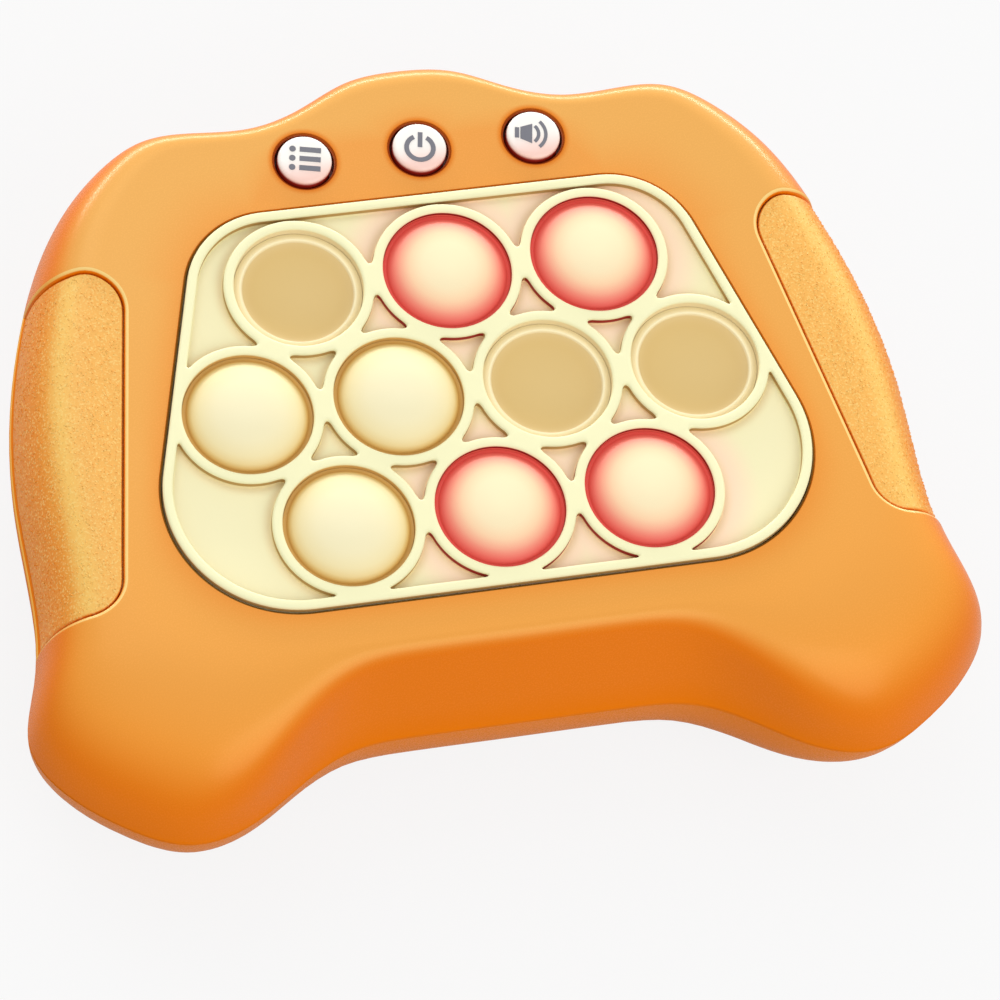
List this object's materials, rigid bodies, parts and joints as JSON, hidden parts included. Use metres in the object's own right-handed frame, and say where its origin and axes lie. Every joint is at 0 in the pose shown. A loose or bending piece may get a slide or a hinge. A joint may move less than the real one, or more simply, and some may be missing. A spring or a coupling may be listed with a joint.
{
  "type": "electronic fidget game",
  "caption": "Hand-held electronic pop-bubble game in a gamepad-shaped case, with domed silicone bubbles, side grips and round push buttons.",
  "frame": {"origin": "centre of the object's footprint, on the flat back that it rests on", "axes": "+Z out of the playing face, +X to the player's right, +Y towards the three buttons"},
  "size_m": [0.14, 0.1142, 0.0383],
  "materials": {
    "case_plastic": "satin moulded, warm orange",
    "grip_plastic": "grained, golden orange",
    "silicone": "matte cream silicone",
    "white_plastic": "moulded",
    "button_plastic": "satin off-white",
    "board": "solder mask",
    "led_epoxy": "clear",
    "carbon_print": "matte",
    "dark_plastic": "moulded",
    "aluminium_can": "drawn",
    "plated_steel": "nickel plated",
    "paper_cone": "pressed paper",
    "cell_jacket": "plain printed sleeve",
    "lead_sleeve": "extruded"
  },
  "bodies": {
    "case": {"front_shell": "case_plastic", "back_shell": "case_plastic", "grip_left": "grip_plastic", "grip_right": "grip_plastic", "bubble_mat": "silicone", "light_box": "white_plastic", "main_board": "board", "bubble_leds": "led_epoxy", "contact_pads": "carbon_print", "button_switches": "dark_plastic", "control_chip": "dark_plastic", "capacitor": "aluminium_can", "lead_sockets": "white_plastic", "speaker_basket": "plated_steel", "speaker_cone": "paper_cone", "speaker_magnet": "dark_plastic", "battery_1": "cell_jacket", "battery_2": "cell_jacket", "battery_3": "cell_jacket", "battery_springs": "plated_steel", "battery_plates": "plated_steel", "case_screws": "plated_steel", "board_screws": "plated_steel", "battery_leads": "lead_sleeve", "speaker_leads": "lead_sleeve"},
    "bubble_1": {"bubble_1": "silicone", "pill_1": "carbon_print"},
    "bubble_2": {"bubble_2": "silicone", "pill_2": "carbon_print"},
    "bubble_3": {"bubble_3": "silicone", "pill_3": "carbon_print"},
    "bubble_4": {"bubble_4": "silicone", "pill_4": "carbon_print"},
    "bubble_5": {"bubble_5": "silicone", "pill_5": "carbon_print"},
    "bubble_6": {"bubble_6": "silicone", "pill_6": "carbon_print"},
    "bubble_7": {"bubble_7": "silicone", "pill_7": "carbon_print"},
    "bubble_8": {"bubble_8": "silicone", "pill_8": "carbon_print"},
    "bubble_9": {"bubble_9": "silicone", "pill_9": "carbon_print"},
    "bubble_10": {"bubble_10": "silicone", "pill_10": "carbon_print"},
    "menu_button": {"menu_button": "button_plastic", "menu_switch_plunger": "dark_plastic"},
    "power_button": {"power_button": "button_plastic", "power_switch_plunger": "dark_plastic"},
    "volume_button": {"volume_button": "button_plastic", "volume_switch_plunger": "dark_plastic"},
    "battery_door": {"battery_door": "case_plastic", "battery_door_screws": "plated_steel"}
  },
  "joints": [
    {"name": "bubble_1_pop", "type": "slide", "parent": "case", "child": "bubble_1", "axis": [0, 0, 1], "range_m": [0, 0.0048]},
    {"name": "bubble_2_pop", "type": "slide", "parent": "case", "child": "bubble_2", "axis": [0, 0, 1], "range_m": [-0.0048, 0]},
    {"name": "bubble_3_pop", "type": "slide", "parent": "case", "child": "bubble_3", "axis": [0, 0, 1], "range_m": [-0.0048, 0]},
    {"name": "bubble_4_pop", "type": "slide", "parent": "case", "child": "bubble_4", "axis": [0, 0, 1], "range_m": [-0.0048, 0]},
    {"name": "bubble_5_pop", "type": "slide", "parent": "case", "child": "bubble_5", "axis": [0, 0, 1], "range_m": [-0.0048, 0]},
    {"name": "bubble_6_pop", "type": "slide", "parent": "case", "child": "bubble_6", "axis": [0, 0, 1], "range_m": [0, 0.0048]},
    {"name": "bubble_7_pop", "type": "slide", "parent": "case", "child": "bubble_7", "axis": [0, 0, 1], "range_m": [0, 0.0048]},
    {"name": "bubble_8_pop", "type": "slide", "parent": "case", "child": "bubble_8", "axis": [0, 0, 1], "range_m": [-0.0048, 0]},
    {"name": "bubble_9_pop", "type": "slide", "parent": "case", "child": "bubble_9", "axis": [0, 0, 1], "range_m": [-0.0048, 0]},
    {"name": "bubble_10_pop", "type": "slide", "parent": "case", "child": "bubble_10", "axis": [0, 0, 1], "range_m": [-0.0048, 0]},
    {"name": "menu_press", "type": "slide", "parent": "case", "child": "menu_button", "axis": [0, 0, 1], "range_m": [-0.0008, 0], "stiffness_N_per_m": 400},
    {"name": "power_press", "type": "slide", "parent": "case", "child": "power_button", "axis": [0, 0, 1], "range_m": [-0.0008, 0], "stiffness_N_per_m": 400},
    {"name": "volume_press", "type": "slide", "parent": "case", "child": "volume_button", "axis": [0, 0, 1], "range_m": [-0.0008, 0], "stiffness_N_per_m": 400},
    {"name": "battery_door_off", "type": "slide", "parent": "case", "child": "battery_door", "axis": [0, 0, 1], "range_m": [-0.024, 0]}
  ]
}
